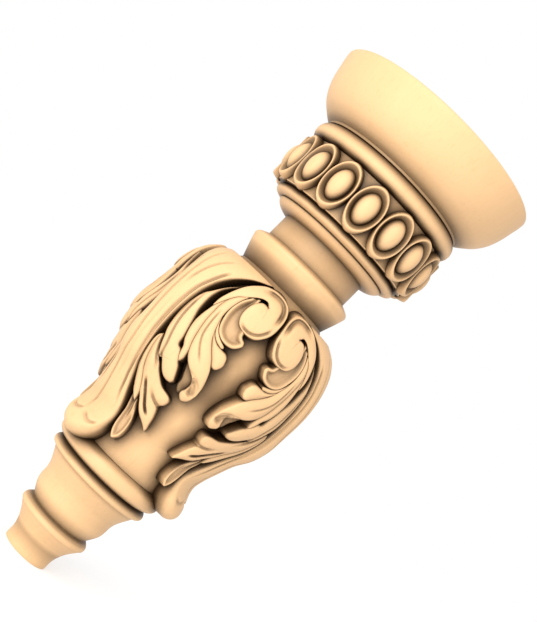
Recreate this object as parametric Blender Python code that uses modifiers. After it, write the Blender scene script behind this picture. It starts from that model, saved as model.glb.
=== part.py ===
"""Baluster leg, turned and carved from one piece of wood.

The leg stands on its small round foot with its wide bell at the top. From the foot up it is turned as a cove,
a bead, a vase, a thin bead, a torus, a long bulb, a tapered collar, a neck, a rounded step, a lip, a drum, a
second torus, a fillet and the bell. Three acanthus leaves stand on the bulb. Each is a ribbed middle lobe that
rolls over the lower torus, with a scroll, a crescent and fans of side lobes on both sides, and the leaves of two
neighbours meet scroll to scroll. Sixteen eggs, each in its raised ring, go round the drum.

Angles round the leg are measured from -Y towards +X. All lengths are in metres.
"""

import math

import bmesh
import bpy

MM = 0.001

# Turned members from the foot up: heights, and radii at the widest or at the creases
FOOT_HEIGHT = 15.0 * MM
FOOT_RADIUS = 10.9 * MM
FOOT_COVE_RADIUS = 16.0 * MM
FOOT_BEAD_HEIGHT = 5.5 * MM
FOOT_BEAD_RADIUS = 17.3 * MM
VASE_HEIGHT = 19.8 * MM
VASE_CREASE_RADIUS = 14.9 * MM
VASE_RADIUS = 18.2 * MM
VASE_FLARE_RADIUS = 21.9 * MM
THIN_BEAD_HEIGHT = 5.7 * MM
THIN_BEAD_RADIUS = 24.9 * MM
TORUS_HEIGHT = 9.0 * MM
TORUS_RADIUS = 26.9 * MM
TORUS_CREASE_RADIUS = 23.5 * MM
BULB_HEIGHT = 95.0 * MM
BULB_RADIUS = 34.3 * MM
COLLAR_HEIGHT = 14.0 * MM
COLLAR_CREASE_RADIUS = 22.5 * MM
COLLAR_RADIUS = 25.9 * MM
NECK_HEIGHT = 9.5 * MM
NECK_RADIUS = 21.3 * MM
STEP_HEIGHT = 4.0 * MM
STEP_RADIUS = 28.5 * MM
LIP_HEIGHT = 5.3 * MM
LIP_RADIUS = 32.8 * MM
DRUM_HEIGHT = 21.5 * MM
DRUM_RADIUS = 34.7 * MM
UPPER_TORUS_HEIGHT = 8.0 * MM
UPPER_TORUS_RADIUS = 38.0 * MM
FILLET_HEIGHT = 1.7 * MM
FILLET_RADIUS = 36.0 * MM
BELL_HEIGHT = 26.0 * MM
BELL_RADIUS = 50.2 * MM
RIM_ROUNDING = 0.9 * MM
TURNING_FACETS = 32

# How the turned curves run: powers of the sweeps, shares of a member's height, and how far a bead starts inside
# its neighbour
FOOT_COVE_POWER = 2.6
FOOT_BEAD_INSET = 0.6 * MM
VASE_WAIST = 0.42
VASE_SWELL_POWER = 0.55
VASE_FLARE_POWER = 1.7
BULB_WAIST = 0.69
BULB_SWELL_POWER = 1.35
BULB_SHOULDER_POWER = 2.6
BULB_STEPS = 5
BULB_STEP_SHIFT = 0.06
COLLAR_SHOULDER = 0.74
COLLAR_SHOULDER_POWER = 2.2
STEP_FOOT = 1.6 * MM
STEP_POWER = 0.6
LIP_INSET = 3.5 * MM
BELL_POWER = 2.8
BELL_STEP_POWER = 1.5
SHORTEST_STEP = 0.05 * MM

# Carving on the bulb
LEAVES = 3
FIRST_GAP_DEG = 14.65
LEAF_LAP = 5.0 * MM
LEAF_RELIEF = 6.6 * MM
LOBE_ROOT_SHARE = 0.35
TOP_RELIEF_SHARE = 0.8
TOP_OF_LOBES = 90.0
RIB_RELIEF = 8.8 * MM
ROOT_DEPTH = 2.5 * MM
EDGE_FALL = 0.9 * MM
RIB_EDGE_FALL = 2.4 * EDGE_FALL
RIB_WALL_LEAN = 1.04
WALL_LEAN = 0.8 * MM

# Carving on the drum
EGGS = 16
EGG_HALF_WIDTH = 4.3 * MM
EGG_HALF_HEIGHT = 6.7 * MM
EGG_RELIEF = 5.0 * MM
EGG_RING_HALF_WIDTH = 5.9 * MM
EGG_RING_HALF_HEIGHT = 9.1 * MM
EGG_RING_RELIEF = 3.3 * MM
EGG_RING_FOOT = 0.9 * MM
EGG_GROOVE_RELIEF = 1.2 * MM
EGG_CROWN_SHARE = 0.62
EGG_FACETS = 8

# A side lobe's middle line: degrees from the gap between leaves, out of 60 to the rib; per cent of the leaf's
# height; and the lobe's width there in per cent of that height too. Each starts at its root and ends at its tip.
SCROLL_ARM = ((14.0, 93.6, 5.0), (26.0, 92.2, 5.6), (31.6, 88.0, 3.8), (35.6, 82.0, 2.4), (38.0, 76.5, 0.6))
CRESCENT = ((25.6, 86.5, 2.6), (25.6, 78.5, 5.6), (22.4, 74.4, 7.2), (17.2, 72.2, 7.2), (10.9, 72.0, 4.8))
UPPER_LOBE = ((28.4, 74.0, 1.1), (23.2, 66.6, 3.4), (17.0, 63.2, 5.6), (10.6, 62.1, 5.0))
HOOKED_LOBE = (
    (32.4, 80.0, 2.4), (30.6, 69.0, 5.8), (25.0, 60.4, 8.2), (17.6, 55.4, 8.4), (12.4, 50.6, 5.6),
    (12.0, 42.8, 3.6),
)
INNER_LOBE = ((36.6, 78.0, 1.4), (36.4, 67.0, 3.6), (33.4, 58.6, 3.8), (29.0, 52.2, 1.2))
FIRST_FAN = (
    (36.6, 87.4, 0.9), (44.6, 79.0, 3.6), (45.4, 67.5, 6.4), (40.0, 56.0, 7.6), (32.6, 48.8, 6.8),
    (24.8, 44.9, 3.2),
)
SECOND_FAN = ((47.5, 54.0, 2.0), (41.5, 45.6, 4.8), (29.5, 38.4, 5.4), (22.5, 37.0, 5.4), (17.7, 36.8, 3.4))
POINTED_LOBE = ((47.4, 47.0, 2.6), (39.0, 36.2, 5.4), (28.5, 31.0, 7.8), (21.0, 28.0, 7.0), (14.9, 23.0, 1.0))
LOWER_STRIP = ((48.6, 45.0, 2.4), (45.2, 37.4, 3.6), (36.0, 29.2, 1.6))
SPOON_LEAF = ((37.4, 33.0, 3.2), (33.0, 24.6, 5.2), (30.0, 18.4, 5.9), (28.4, 13.2, 3.0))
SIDE_LOBES = (
    SCROLL_ARM, CRESCENT, UPPER_LOBE, HOOKED_LOBE, INNER_LOBE, FIRST_FAN, SECOND_FAN, POINTED_LOBE, LOWER_STRIP,
    SPOON_LEAF,
)

# The scroll's domed end: degrees and per cent as above, and its rings as shares of its size with their relief
SCROLL_MIDDLE = (12.2, 86.6)
SCROLL_HALF_WIDTH = 7.6
SCROLL_HALF_HEIGHT = 10.6
SCROLL_CROWN = 0.5 * MM
SCROLL_RINGS = (
    (1.03, -ROOT_DEPTH), (1.0, LEAF_RELIEF - 1.6 * EDGE_FALL), (0.72, LEAF_RELIEF),
    (0.25, LEAF_RELIEF + SCROLL_CROWN),
)
SCROLL_FACETS = 10

# The middle lobe: per cent of the leaf's height, half its width in degrees, and its relief as a share of the
# full one
MIDDLE_LOBE = (
    (97.0, 33.0, 0.30), (94.0, 24.0, 0.62), (88.0, 17.2, 0.85), (78.0, 12.6, 0.92), (68.0, 9.2, 0.98),
    (54.0, 7.6, 1.05), (43.0, 9.0, 1.14), (33.0, 14.0, 1.00), (24.0, 19.0, 0.84), (15.0, 21.4, 0.82),
    (8.0, 19.0, 1.18), (4.0, 13.0, 1.20), (1.2, 6.0, 0.95),
)
HALF_LEAF_DEG = 60.0
RIDGE_SHARE = 0.55
CENTRE_CREASE = 0.6 * MM

WOOD_COLOUR = (0.72, 0.50, 0.27, 1.0)
WOOD_ROUGHNESS = 0.55


def stack():
    """Heights of the creases between the turned members, from the sole up."""
    heights = {
        "foot": FOOT_HEIGHT,
        "foot_bead": FOOT_BEAD_HEIGHT,
        "vase": VASE_HEIGHT,
        "thin_bead": THIN_BEAD_HEIGHT,
        "torus": TORUS_HEIGHT,
        "bulb": BULB_HEIGHT,
        "collar": COLLAR_HEIGHT,
        "neck": NECK_HEIGHT,
        "step": STEP_HEIGHT,
        "lip": LIP_HEIGHT,
        "drum": DRUM_HEIGHT,
        "upper_torus": UPPER_TORUS_HEIGHT,
        "fillet": FILLET_HEIGHT,
        "bell": BELL_HEIGHT,
    }
    spans = {}
    level = 0.0
    for name, height in heights.items():
        spans[name] = (level, level + height)
        level += height
    return spans


def bead(span, low_radius, high_radius, crown_radius, steps):
    """Points of a half-round moulding between the creases at both ends of its span."""
    points = []
    for step in range(steps + 1):
        turn = math.pi * step / steps
        share = (1 - math.cos(turn)) / 2
        crease = low_radius + (high_radius - low_radius) * share
        radius = crease + (crown_radius - crease) * math.sin(turn)
        points.append((radius, span[0] + (span[1] - span[0]) * share))
    return points


def sweep(span, low_radius, high_radius, bulge, steps):
    """Points of a curve between two radii. A bulge under 1 is full near the bottom, one over 1 is hollow there."""
    points = []
    for step in range(steps + 1):
        share = step / steps
        radius = low_radius + (high_radius - low_radius) * share**bulge
        points.append((radius, span[0] + (span[1] - span[0]) * share))
    return points


def flare(span, low_radius, high_radius, power, steps):
    """Points of a curve that swells fast from its low radius and straightens towards its high one."""
    points = []
    for step in range(steps + 1):
        share = (step / steps) ** BELL_STEP_POWER
        radius = low_radius + (high_radius - low_radius) * (1 - (1 - share) ** power)
        points.append((radius, span[0] + (span[1] - span[0]) * share))
    return points


def bulb_radius(height):
    """Radius of the smooth bulb under the carving at a height on the leg."""
    low, high = stack()["bulb"]
    share = min(max((height - low) / (high - low), 0.0), 1.0)
    if share <= BULB_WAIST:
        swell = (1 - math.cos(math.pi * (share / BULB_WAIST) ** BULB_SWELL_POWER)) / 2
        return TORUS_CREASE_RADIUS + (BULB_RADIUS - TORUS_CREASE_RADIUS) * swell
    shoulder = (share - BULB_WAIST) / (1 - BULB_WAIST)
    fall = math.sqrt(1 - shoulder**BULB_SHOULDER_POWER)
    return COLLAR_CREASE_RADIUS + (BULB_RADIUS - COLLAR_CREASE_RADIUS) * fall


def turned_profile():
    """Outline of the turned leg from the sole's middle up to the middle of the bell's top."""
    spans = stack()
    low, high = spans["bulb"]
    outline = [(0.0, 0.0)]
    outline += sweep(spans["foot"], FOOT_RADIUS, FOOT_COVE_RADIUS, FOOT_COVE_POWER, 3)
    bead_start = FOOT_COVE_RADIUS - FOOT_BEAD_INSET
    outline += bead(spans["foot_bead"], bead_start, VASE_CREASE_RADIUS, FOOT_BEAD_RADIUS, 4)
    vase_low, vase_high = spans["vase"]
    vase_waist = vase_low + (vase_high - vase_low) * VASE_WAIST
    outline += sweep((vase_low, vase_waist), VASE_CREASE_RADIUS, VASE_RADIUS, VASE_SWELL_POWER, 2)
    outline += sweep((vase_waist, vase_high), VASE_RADIUS, VASE_FLARE_RADIUS, VASE_FLARE_POWER, 2)
    outline += bead(spans["thin_bead"], VASE_FLARE_RADIUS, TORUS_CREASE_RADIUS, THIN_BEAD_RADIUS, 4)
    outline += bead(spans["torus"], TORUS_CREASE_RADIUS, TORUS_CREASE_RADIUS, TORUS_RADIUS, 4)
    for step in range(1, BULB_STEPS):
        share = step / BULB_STEPS
        height = low + (high - low) * (share + BULB_STEP_SHIFT * math.sin(math.pi * share))
        outline.append((bulb_radius(height), height))
    collar_low, collar_high = spans["collar"]
    collar_shoulder = collar_low + (collar_high - collar_low) * COLLAR_SHOULDER
    outline += sweep((collar_low, collar_shoulder), COLLAR_CREASE_RADIUS, COLLAR_RADIUS, 1.0, 1)
    outline += sweep((collar_shoulder, collar_high), COLLAR_RADIUS, NECK_RADIUS, COLLAR_SHOULDER_POWER, 2)[1:]
    outline.append((NECK_RADIUS, spans["neck"][1]))
    outline += sweep(spans["step"], NECK_RADIUS + STEP_FOOT, STEP_RADIUS, STEP_POWER, 2)
    outline += bead(spans["lip"], STEP_RADIUS, DRUM_RADIUS - LIP_INSET, LIP_RADIUS, 4)
    outline += sweep(spans["drum"], DRUM_RADIUS, DRUM_RADIUS, 1.0, 1)
    outline += bead(spans["upper_torus"], DRUM_RADIUS, DRUM_RADIUS, UPPER_TORUS_RADIUS, 4)
    outline += sweep(spans["fillet"], FILLET_RADIUS, FILLET_RADIUS, 1.0, 1)
    bell_low, bell_high = spans["bell"]
    outline += flare((bell_low, bell_high - RIM_ROUNDING), FILLET_RADIUS, BELL_RADIUS, BELL_POWER, 5)[1:]
    outline.append((BELL_RADIUS - RIM_ROUNDING, bell_high))
    outline.append((0.0, bell_high))
    return outline


def wood():
    """The leg's material: pale carved hardwood under a thin satin varnish."""
    material = bpy.data.materials.new("carved_wood")
    material.use_nodes = True
    shader = material.node_tree.nodes["Principled BSDF"]
    shader.inputs["Base Color"].default_value = WOOD_COLOUR
    shader.inputs["Roughness"].default_value = WOOD_ROUGHNESS
    return material


def new_collection(name):
    """A collection under the scene's own."""
    collection = bpy.data.collections.new(name)
    bpy.context.scene.collection.children.link(collection)
    return collection


def turned_leg(collection):
    """The turned leg before carving: its outline, run round the upright axis by a Screw modifier."""
    outline = []
    for point in turned_profile():
        if not outline or math.dist(point, outline[-1]) > SHORTEST_STEP:
            outline.append(point)
    outline.reverse()
    mesh = bpy.data.meshes.new("baluster")
    edges = [(i, i + 1) for i in range(len(outline) - 1)]
    mesh.from_pydata([(radius, 0.0, height) for radius, height in outline], edges, [])
    leg = bpy.data.objects.new("baluster", mesh)
    collection.objects.link(leg)
    screw = leg.modifiers.new("turning", "SCREW")
    screw.steps = TURNING_FACETS
    screw.render_steps = TURNING_FACETS
    screw.use_merge_vertices = True
    screw.merge_threshold = 0.01 * MM
    screw.use_smooth_shade = True
    return leg


def on_leg(angle_deg, height, radius):
    """A point round the leg: its angle from -Y towards +X, its height and its distance from the axis."""
    angle = math.radians(angle_deg)
    return (radius * math.sin(angle), -radius * math.cos(angle), height)


def leaf_height(up):
    """Height on the leg of a point given as a percentage of the leaf's height."""
    low, high = stack()["bulb"]
    return low - LEAF_LAP + (high - low + LEAF_LAP) * up / 100


def on_leaf(leaf, side, across, up, relief):
    """A point of one leaf's carving on one side of the gap it starts from, at its relief above the bulb."""
    height = leaf_height(up)
    share = across / HALF_LEAF_DEG
    angle = FIRST_GAP_DEG + leaf * 360 / LEAVES - side * share * 180 / LEAVES
    return on_leg(angle, height, bulb_radius(height) + relief)


def loft(name, rings, collection):
    """A closed solid through rings of as many points each, with a cap on the first and the last."""
    form = bmesh.new()
    loops = [[form.verts.new(point) for point in ring] for ring in rings]
    for low, high in zip(loops, loops[1:]):
        for i in range(len(low)):
            j = (i + 1) % len(low)
            form.faces.new((low[i], low[j], high[j], high[i]))
    form.faces.new(loops[0])
    form.faces.new(loops[-1])
    bmesh.ops.recalc_face_normals(form, faces=form.faces)
    bmesh.ops.triangulate(form, faces=form.faces)
    mesh = bpy.data.meshes.new(name)
    form.to_mesh(mesh)
    form.free()
    solid = bpy.data.objects.new(name, mesh)
    solid.hide_render = True
    solid.display_type = "WIRE"
    collection.objects.link(solid)
    return solid


def side_lobe_rings(spine, leaf, side):
    """Cross-sections of a side lobe square to its middle line: two feet in the bulb, two edges and a crown."""
    rings = []
    degree = math.radians(180 / LEAVES / HALF_LEAF_DEG) * (BULB_RADIUS + LEAF_RELIEF)
    percent = (leaf_height(100) - leaf_height(0)) / 100
    for i, (across, up, width) in enumerate(spine):
        before = spine[max(i - 1, 0)]
        after = spine[min(i + 1, len(spine) - 1)]
        along = ((after[0] - before[0]) * degree, (after[1] - before[1]) * percent)
        length = math.hypot(*along)
        half = width * percent / 2
        aside = (-along[1] / length * half / degree, along[0] / length * half / percent)
        lean = 1 + WALL_LEAN / max(half, WALL_LEAN)
        relief = LEAF_RELIEF * (LOBE_ROOT_SHARE + (1 - LOBE_ROOT_SHARE) * min(1.0, (i + 1) / 2))
        if up >= TOP_OF_LOBES:
            relief *= TOP_RELIEF_SHARE
        edge = relief - EDGE_FALL
        ring = []
        for share, rise in ((-lean, -ROOT_DEPTH), (-1.0, edge), (0.0, relief), (1.0, edge), (lean, -ROOT_DEPTH)):
            ring.append(on_leaf(leaf, side, across + aside[0] * share, up + aside[1] * share, rise))
        rings.append(ring)
    return rings


def middle_lobe_rings(leaf):
    """Cross-sections of a leaf's middle lobe, level across it: feet, edges, two ridges and their crease."""
    rings = []
    for up, half_width, share in MIDDLE_LOBE:
        relief = RIB_RELIEF * share
        edge = relief - RIB_EDGE_FALL
        ring = []
        for place, rise in (
            (-RIB_WALL_LEAN, -ROOT_DEPTH), (-1.0, edge), (-RIDGE_SHARE, relief), (0.0, relief - CENTRE_CREASE),
            (RIDGE_SHARE, relief), (1.0, edge), (RIB_WALL_LEAN, -ROOT_DEPTH),
        ):
            ring.append(on_leaf(leaf, 1, HALF_LEAF_DEG + half_width * place, up, rise))
        rings.append(ring)
    return rings


def scroll_rings(leaf, side):
    """The domed end of a scroll: an oval foot inside the bulb, the edge, the shoulder and a small crown."""
    percent = (leaf_height(100) - leaf_height(0)) / 100
    degree = math.radians(180 / LEAVES / HALF_LEAF_DEG) * (BULB_RADIUS + LEAF_RELIEF)
    rings = []
    for size, relief in SCROLL_RINGS:
        ring = []
        for i in range(SCROLL_FACETS):
            turn = 2 * math.pi * i / SCROLL_FACETS
            across = SCROLL_MIDDLE[0] + SCROLL_HALF_WIDTH * percent / degree * size * math.cos(turn)
            up = SCROLL_MIDDLE[1] + SCROLL_HALF_HEIGHT * size * math.sin(turn)
            ring.append(on_leaf(leaf, side, across, up, relief))
        rings.append(ring)
    return rings


def egg_rings(index):
    """One egg and its ring, from the ring's foot in the drum over its crest, down to the groove and up the egg."""
    low, high = stack()["drum"]
    middle = (low + high) / 2
    degree = math.radians(1.0) * DRUM_RADIUS
    steps = (
        (EGG_RING_HALF_WIDTH + EGG_RING_FOOT, EGG_RING_HALF_HEIGHT + EGG_RING_FOOT, -ROOT_DEPTH),
        (EGG_RING_HALF_WIDTH, EGG_RING_HALF_HEIGHT, EGG_RING_RELIEF),
        (EGG_HALF_WIDTH, EGG_HALF_HEIGHT, EGG_GROOVE_RELIEF),
        (EGG_HALF_WIDTH * EGG_CROWN_SHARE, EGG_HALF_HEIGHT * EGG_CROWN_SHARE, EGG_RELIEF),
    )
    rings = []
    for half_width, half_height, relief in steps:
        ring = []
        for i in range(EGG_FACETS):
            turn = 2 * math.pi * i / EGG_FACETS
            angle = index * 360 / EGGS + half_width / degree * math.cos(turn)
            ring.append(on_leg(angle, middle + half_height * math.sin(turn), DRUM_RADIUS + relief))
        rings.append(ring)
    return rings


def carve(carving):
    """All the carved forms, each a solid rooted inside the turned leg."""
    for leaf in range(LEAVES):
        loft(f"middle_lobe_{leaf}", middle_lobe_rings(leaf), carving)
        for side in (-1, 1):
            loft(f"scroll_{leaf}_{side}", scroll_rings(leaf, side), carving)
            for number, spine in enumerate(SIDE_LOBES):
                loft(f"side_lobe_{leaf}_{side}_{number}", side_lobe_rings(spine, leaf, side), carving)
    for index in range(EGGS):
        loft(f"egg_{index}", egg_rings(index), carving)


def build():
    """Turns the leg and joins the carving to it in one solid."""
    for old in list(bpy.data.objects):
        bpy.data.objects.remove(old, do_unlink=True)
    part = new_collection("baluster_leg")
    carving = new_collection("carving_guides")
    carve(carving)
    leg = turned_leg(part)
    leg.data.materials.append(wood())
    joined = leg.modifiers.new("carving", "BOOLEAN")
    joined.operation = "UNION"
    joined.solver = "EXACT"
    joined.operand_type = "COLLECTION"
    joined.collection = carving


build()
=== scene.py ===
"""Visual model of a baluster leg, turned and carved from pale hardwood under a toned satin varnish, with
painted shade, dark brown, in its recesses.

The leg stands on its small round foot, with its wide bell at the top. The turning is one smooth solid of
revolution. Sixteen eggs in raised rings go round its drum, and three acanthus leaves lie on its bulb. A leaf
is a ribbed middle lobe with the same side lobes on its left and right: a scroll, a crescent and fans of
strips. Angles round the leg run from -Y towards +X.
"""

from __future__ import annotations

import logging
import math
from dataclasses import dataclass
from enum import Enum

import bmesh
import bpy
import numpy as np
from mathutils import Matrix, Vector


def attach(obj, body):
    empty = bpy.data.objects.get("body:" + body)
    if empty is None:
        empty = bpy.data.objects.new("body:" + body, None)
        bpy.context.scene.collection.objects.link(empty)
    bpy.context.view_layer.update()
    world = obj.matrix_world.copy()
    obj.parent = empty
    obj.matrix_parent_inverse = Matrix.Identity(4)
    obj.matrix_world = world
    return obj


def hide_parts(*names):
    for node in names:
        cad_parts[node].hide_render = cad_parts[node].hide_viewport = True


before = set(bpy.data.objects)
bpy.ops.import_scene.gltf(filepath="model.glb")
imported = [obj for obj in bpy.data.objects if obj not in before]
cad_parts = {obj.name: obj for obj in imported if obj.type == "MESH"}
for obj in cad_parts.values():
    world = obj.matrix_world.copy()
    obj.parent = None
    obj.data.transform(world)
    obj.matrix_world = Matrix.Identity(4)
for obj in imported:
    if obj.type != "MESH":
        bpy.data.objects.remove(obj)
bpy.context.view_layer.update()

LOG = logging.getLogger("baluster_leg")
MM = 0.001
LEG_NODE = "baluster"

LEAVES = 3
LEAF_PITCH_DEG = 360.0 / LEAVES
HALF_LEAF_DEG = LEAF_PITCH_DEG / 2
FIRST_GAP_DEG = 14.65
EGGS = 16
# Radius in millimetres at which degrees round the leg are measured on a leaf's face
LEAF_RADIUS = 40.0
# Millimetres on a leaf's face for a degree round the leg and for a millimetre of height
ON_FACE = np.array([math.radians(1.0) * LEAF_RADIUS, 1.0])
# Below these, in millimetres and their square, a length counts as none
TINY_LENGTH = 1e-6
TINY_SQUARE = 1e-9


def linear(hex_colour: str) -> tuple[float, float, float, float]:
    """Turn an sRGB hex colour into linear colour.

    Args:
        hex_colour: Six hexadecimal digits after a hash sign.

    Returns:
        Linear red, green and blue, and full alpha.
    """
    values = [int(hex_colour[i : i + 2], 16) / 255 for i in (1, 3, 5)]
    red, green, blue = (v / 12.92 if v <= 0.04045 else ((v + 0.055) / 1.055) ** 2.4 for v in values)
    return (red, green, blue, 1.0)


def on_leg(angle_deg: float, height: float, radius: float) -> Vector:
    """Place a point round the leg.

    Args:
        angle_deg: Angle from -Y towards +X.
        height: Height above the sole.
        radius: Distance from the leg's axis.

    Returns:
        The point.
    """
    angle = math.radians(angle_deg)
    return Vector((radius * math.sin(angle), -radius * math.cos(angle), height))


def spline(points: np.ndarray, where: np.ndarray) -> np.ndarray:
    """Sample a Catmull-Rom curve through points.

    Args:
        points: The curve's points, one a row.
        where: Places along it, in points from the first.

    Returns:
        One sampled point a row.
    """
    padded = np.vstack([2 * points[0] - points[1], points, 2 * points[-1] - points[-2]])
    first = np.clip(where.astype(int), 0, len(points) - 2)
    t = (where - first)[:, None]
    a, b, c, d = (padded[first + k] for k in range(4))
    return 0.5 * (2 * b + (c - a) * t + (2 * a - 5 * b + 4 * c - d) * t**2 + (3 * b - a - 3 * c + d) * t**3)


@dataclass(frozen=True)
class Curve:
    """A smooth radius over height, through named heights and radii in millimetres."""

    knots: tuple[tuple[float, float], ...]

    def radius(self, height: np.ndarray) -> np.ndarray:
        """Read the curve.

        Args:
            height: Heights in millimetres.

        Returns:
            The radius at each height, in millimetres.
        """
        knots = np.array(self.knots)
        heights, radii = knots[:, 0], knots[:, 1]
        chords = np.diff(radii) / np.diff(heights)
        slopes = np.concatenate([chords[:1], (chords[1:] + chords[:-1]) / 2, chords[-1:]])
        at = np.clip(height, heights[0], heights[-1])
        i = np.clip(np.searchsorted(heights, at) - 1, 0, len(heights) - 2)
        step = heights[i + 1] - heights[i]
        t = (at - heights[i]) / step
        rise = (1 + 2 * t) * (1 - t) ** 2 * radii[i] + t * (1 - t) ** 2 * step * slopes[i]
        return rise + t**2 * (3 - 2 * t) * radii[i + 1] + t**2 * (t - 1) * step * slopes[i + 1]


BULB = Curve((
    (46.0, 24.0), (55.3, 23.4), (65.0, 24.0), (73.0, 24.9), (80.0, 26.8), (88.0, 28.9), (95.0, 30.6),
    (100.0, 31.5), (105.0, 32.5), (115.0, 33.9), (122.0, 34.3), (130.0, 33.8), (137.0, 32.0), (143.0, 28.5),
    (147.0, 25.0), (149.6, 22.5),
))
LEAF_FACE = Curve((
    (56.0, 30.0), (62.0, 30.4), (68.0, 30.7), (72.9, 31.2), (78.0, 32.8), (81.0, 33.5), (84.5, 34.7),
    (88.0, 36.0), (91.0, 37.3), (94.0, 38.7), (97.5, 39.9), (100.6, 40.7), (104.0, 41.3), (109.0, 41.6),
    (112.0, 41.5), (115.5, 41.2), (119.0, 41.0), (125.0, 40.6), (132.0, 40.1), (138.5, 38.3), (141.7, 36.5),
    (145.0, 33.8), (147.0, 32.0), (149.0, 30.2),
))
RIB_RIDGE = Curve((
    (50.0, 35.0), (55.0, 35.3), (58.0, 34.6), (61.4, 33.2), (64.7, 31.8), (68.0, 31.2), (73.0, 32.2),
    (79.4, 34.4), (86.0, 37.0), (92.5, 40.7), (99.0, 42.8), (109.0, 43.6), (119.0, 43.9), (125.0, 43.3),
    (132.0, 41.8), (138.4, 39.3), (141.7, 37.2), (145.0, 34.0), (147.5, 30.0), (149.6, 26.0),
))


class Shape(Enum):
    """How a turned member runs between the heights and radii that it names."""

    STRAIGHT = "straight"
    SMOOTH = "smooth"
    BEAD = "bead"


@dataclass(frozen=True)
class Member:
    """One turned member between two creases: its heights and radii in millimetres, from the low crease up.

    A bead names its low crease, its crown and its high crease. A straight member needs no steps.
    """

    shape: Shape
    knots: tuple[tuple[float, float], ...]
    steps: int = 12

    def outline(self) -> list[tuple[float, float]]:
        """Work out the member's outline.

        Returns:
            Radius and height of each point, in millimetres, from the low crease up.
        """
        if self.shape is Shape.STRAIGHT:
            return [(radius, height) for height, radius in self.knots]
        if self.shape is Shape.SMOOTH:
            heights = np.linspace(self.knots[0][0], self.knots[-1][0], self.steps + 1)
            return [(float(r), float(z)) for r, z in zip(Curve(self.knots).radius(heights), heights)]
        (low, low_radius), (_, crown), (high, high_radius) = self.knots
        points = []
        for step in range(self.steps + 1):
            turn = math.pi * step / self.steps
            share = (1 - math.cos(turn)) / 2
            crease = low_radius + (high_radius - low_radius) * share
            points.append((crease + (crown - crease) * math.sin(turn), low + (high - low) * share))
        return points


FOOT = Member(Shape.STRAIGHT, ((0.0, 0.0), (0.0, 10.3), (0.2, 10.8), (0.7, 10.9)))
FOOT_COVE = Member(
    Shape.SMOOTH,
    (
        (4.0, 10.9), (6.5, 11.35), (8.1, 11.9), (9.8, 12.6), (11.4, 13.5), (13.1, 14.6), (14.8, 15.9),
        (15.6, 16.45),
    ),
    18,
)
FOOT_BEAD = Member(
    Shape.SMOOTH,
    (
        (15.7, 16.5), (16.1, 17.0), (16.8, 17.3), (17.6, 17.3), (18.4, 17.0), (19.1, 16.4), (19.7, 15.7),
        (20.2, 14.8),
    ),
    18,
)
VASE = Member(
    Shape.SMOOTH,
    (
        (20.3, 14.7), (21.2, 15.2), (22.2, 15.8), (23.9, 16.8), (25.5, 17.6), (27.6, 18.1), (29.7, 18.2),
        (31.3, 18.25), (33.8, 18.8), (36.3, 19.9), (38.0, 20.8), (39.6, 21.7), (40.5, 22.2), (41.3, 22.6),
    ),
    28,
)
THIN_BEAD = Member(
    Shape.SMOOTH,
    (
        (41.5, 22.8), (41.7, 23.7), (42.2, 24.5), (43.2, 24.9), (44.2, 24.7), (45.1, 24.1), (45.8, 23.3),
        (46.3, 22.6),
    ),
    20,
)
TORUS = Member(
    Shape.SMOOTH,
    (
        (46.4, 22.6), (46.9, 24.4), (47.6, 25.6), (48.6, 26.5), (50.4, 26.9), (51.8, 26.75), (53.0, 26.2),
        (54.0, 25.2), (54.8, 24.0), (55.2, 23.2),
    ),
    24,
)
BULB_BODY = Member(Shape.SMOOTH, BULB.knots[1:], 60)
COLLAR = Member(
    Shape.SMOOTH,
    (
        (149.7, 22.4), (152.0, 23.2), (156.0, 24.6), (159.6, 25.7), (160.8, 25.9), (161.8, 25.3),
        (162.5, 24.3), (163.1, 23.0), (163.6, 21.9),
    ),
    26,
)
NECK = Member(Shape.STRAIGHT, ((163.8, 21.3), (174.2, 21.3)))
STEP = Member(
    Shape.SMOOTH,
    (
        (174.3, 22.5), (174.7, 24.4), (175.3, 26.0), (176.1, 27.3), (177.1, 28.3), (178.0, 28.8),
        (178.4, 28.6),
    ),
    14,
)
LIP = Member(Shape.BEAD, ((178.5, 29.2), (180.4, 32.8), (182.6, 31.2)), 18)
DRUM = Member(Shape.STRAIGHT, ((182.7, 34.4), (183.0, 34.7), (204.2, 34.7), (204.4, 34.5)))
UPPER_TORUS = Member(Shape.BEAD, ((204.6, 34.0), (208.4, 38.0), (212.6, 35.0)), 20)
FILLET = Member(Shape.STRAIGHT, ((212.7, 35.8), (212.9, 36.0), (213.8, 36.0)))
BELL = Member(
    Shape.SMOOTH,
    (
        (214.0, 36.2), (215.6, 38.7), (217.2, 40.7), (219.5, 43.3), (222.7, 45.7), (225.1, 46.9),
        (227.5, 47.8), (230.0, 48.5), (234.8, 49.5), (237.2, 50.0), (239.1, 50.2),
    ),
    30,
)
BELL_TOP = Member(Shape.STRAIGHT, ((239.6, 50.05), (239.9, 49.7), (240.0, 49.3), (240.0, 0.0)))
TURNING = (
    FOOT, FOOT_COVE, FOOT_BEAD, VASE, THIN_BEAD, TORUS, BULB_BODY, COLLAR, NECK, STEP, LIP, DRUM, UPPER_TORUS,
    FILLET, BELL, BELL_TOP,
)


def new_piece(name: str, form: bmesh.types.BMesh, material: bpy.types.Material) -> bpy.types.Object:
    """Make a finished piece of the leg from a mesh, and tell the frame about it.

    Args:
        name: The piece's name.
        form: Its mesh, which is freed here.
        material: Its finish.

    Returns:
        The piece's object.
    """
    mesh = bpy.data.meshes.new(name)
    form.to_mesh(mesh)
    form.free()
    mesh.materials.append(material)
    mesh.shade_smooth()
    piece = bpy.data.objects.new(name, mesh)
    bpy.context.scene.collection.objects.link(piece)
    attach(piece, "root")
    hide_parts(LEG_NODE)
    return piece


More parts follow.
